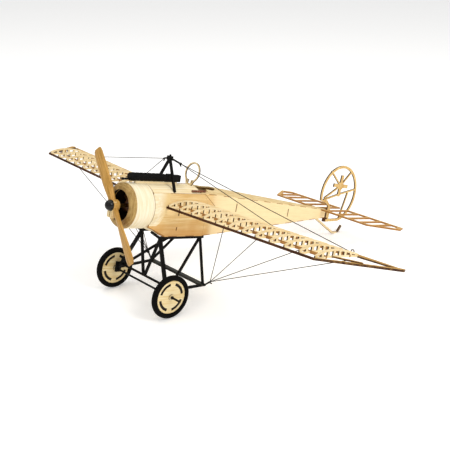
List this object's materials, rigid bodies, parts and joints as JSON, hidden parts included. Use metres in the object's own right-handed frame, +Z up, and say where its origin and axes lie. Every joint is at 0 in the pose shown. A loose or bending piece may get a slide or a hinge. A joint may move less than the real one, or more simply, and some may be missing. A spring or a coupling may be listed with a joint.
{
  "type": "rubber powered model aeroplane",
  "caption": "Rubber powered model of an early mid-wing monoplane: open lattice wings, round cowl, wire-braced gear and comma rudder.",
  "frame": {"origin": "on the ground plane, under the centre of the whole object's box", "axes": "+X towards the nose, +Y towards the port wing tip, +Z up; the model sits nose up on its wheels and skid"},
  "size_m": [0.2992, 0.4106, 0.1268],
  "materials": {
    "honey_ply": "satin, fine grain, warm",
    "pale_balsa": "matt, fine grain, near white",
    "turned_balsa": "satin, turned, tan",
    "engine_wood": "satin, brown",
    "propeller_wood": "satin, carved, honey orange",
    "burnt_edge": "matt, darkened by laser cutting",
    "padded_leather": "matt brown",
    "black_wood": "painted matt black",
    "dark_plank": "painted dark olive grey, satin",
    "tyre_rubber": "matt black",
    "black_cap": "domed, glossy black",
    "steel_wire": "bright drawn wire",
    "brass_tube": "satin",
    "peg_tube": "satin",
    "rubber_strip": "matt, tan grey",
    "grey_thread": "taut twisted thread",
    "black_wire": "blackened wire"
  },
  "bodies": {
    "airframe": {"side_front_left": "honey_ply", "side_front_right": "honey_ply", "side_rear_left": "pale_balsa", "side_rear_right": "pale_balsa", "formers": "honey_ply", "firewall": "honey_ply", "front_deck": "pale_balsa", "rear_deck": "pale_balsa", "belly_front": "pale_balsa", "belly_rear": "pale_balsa", "cheek_left": "pale_balsa", "cheek_right": "pale_balsa", "cowl_ring": "turned_balsa", "cowl_skin": "pale_balsa", "engine": "engine_wood", "gun": "black_wood", "gun_mounts": "pale_balsa", "windscreen_frame": "pale_balsa", "cockpit_rim": "padded_leather", "pylon": "black_wood", "ribs_left": "pale_balsa", "ribs_right": "pale_balsa", "front_spar_left": "honey_ply", "front_spar_right": "honey_ply", "rear_spar_left": "honey_ply", "rear_spar_right": "honey_ply", "leading_edge_left": "burnt_edge", "leading_edge_right": "burnt_edge", "trailing_edge_left": "honey_ply", "trailing_edge_right": "honey_ply", "wing_tip_left": "honey_ply", "wing_tip_right": "honey_ply", "tailplane_left": "honey_ply", "tailplane_right": "honey_ply", "stern_post": "burnt_edge", "tail_skid": "pale_balsa", "gear_rails": "black_wood", "front_struts_left": "black_wood", "front_struts_right": "black_wood", "rear_struts_left": "black_wood", "rear_struts_right": "black_wood", "spreader_plank": "dark_plank", "spreader_bar": "black_wood", "axle": "black_wire", "wheel_collars": "black_cap", "bearing_tube": "brass_tube", "rubber_motor": "rubber_strip", "motor_peg": "peg_tube", "top_wires": "grey_thread", "bottom_wires": "grey_thread", "wire_hooks": "black_wire"},
    "propeller_body": {"propeller": "propeller_wood", "propeller_cap": "black_cap", "propeller_shaft": "steel_wire"},
    "wheel_left": {"wheel_disc_left": "honey_ply", "tyre_left": "tyre_rubber"},
    "wheel_right": {"wheel_disc_right": "honey_ply", "tyre_right": "tyre_rubber"},
    "rudder_body": {"rudder": "honey_ply", "rudder_pins": "steel_wire"}
  },
  "joints": [
    {"name": "propeller_spin", "type": "hinge", "parent": "airframe", "child": "propeller_body", "pos_m": [0.14025, 0, 0.0881], "axis": [0.974, 0, 0.2266], "continuous": true, "deforming": ["rubber_motor"]},
    {"name": "wheel_left_spin", "type": "hinge", "parent": "airframe", "child": "wheel_left", "pos_m": [0.11704, 0.038, 0.0175], "axis": [0, 1, 0], "continuous": true},
    {"name": "wheel_right_spin", "type": "hinge", "parent": "airframe", "child": "wheel_right", "pos_m": [0.11704, -0.038, 0.0175], "axis": [0, 1, 0], "continuous": true},
    {"name": "rudder_swing", "type": "hinge", "parent": "airframe", "child": "rudder_body", "pos_m": [-0.10671, 0, 0.02293], "axis": [-0.2266, 0, 0.974], "range_deg": [-8, 8]}
  ]
}
